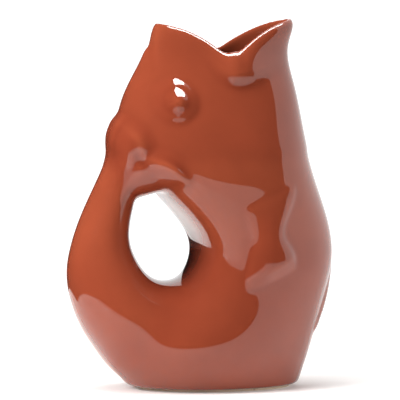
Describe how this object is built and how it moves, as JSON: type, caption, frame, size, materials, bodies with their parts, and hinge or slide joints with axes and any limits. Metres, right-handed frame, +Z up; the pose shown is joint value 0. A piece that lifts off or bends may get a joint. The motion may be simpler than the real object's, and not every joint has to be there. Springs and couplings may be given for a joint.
{
  "type": "pitcher",
  "caption": "Glazed stoneware jug shaped as an upright fish: it pours from the open mouth, and its hollow tail curls up behind as the handle and makes it gurgle.",
  "frame": {"origin": "on the table at the centre of the flat foot", "axes": "+Z up, +X towards the pouring lip, -X towards the tail handle, +Y the fish's left side"},
  "size_m": [0.1864, 0.1232, 0.2533],
  "materials": {
    "glaze": "gloss",
    "bare_clay": "matte"
  },
  "bodies": {
    "root": {"body_shell": "glaze", "foot": "bare_clay", "tail_root": "glaze", "tail_handle": "glaze", "tail_fin": "glaze", "left_pectoral_fin": "glaze", "right_pectoral_fin": "glaze", "left_eye": "glaze", "right_eye": "glaze", "belly_fin": "glaze"}
  },
  "joints": []
}
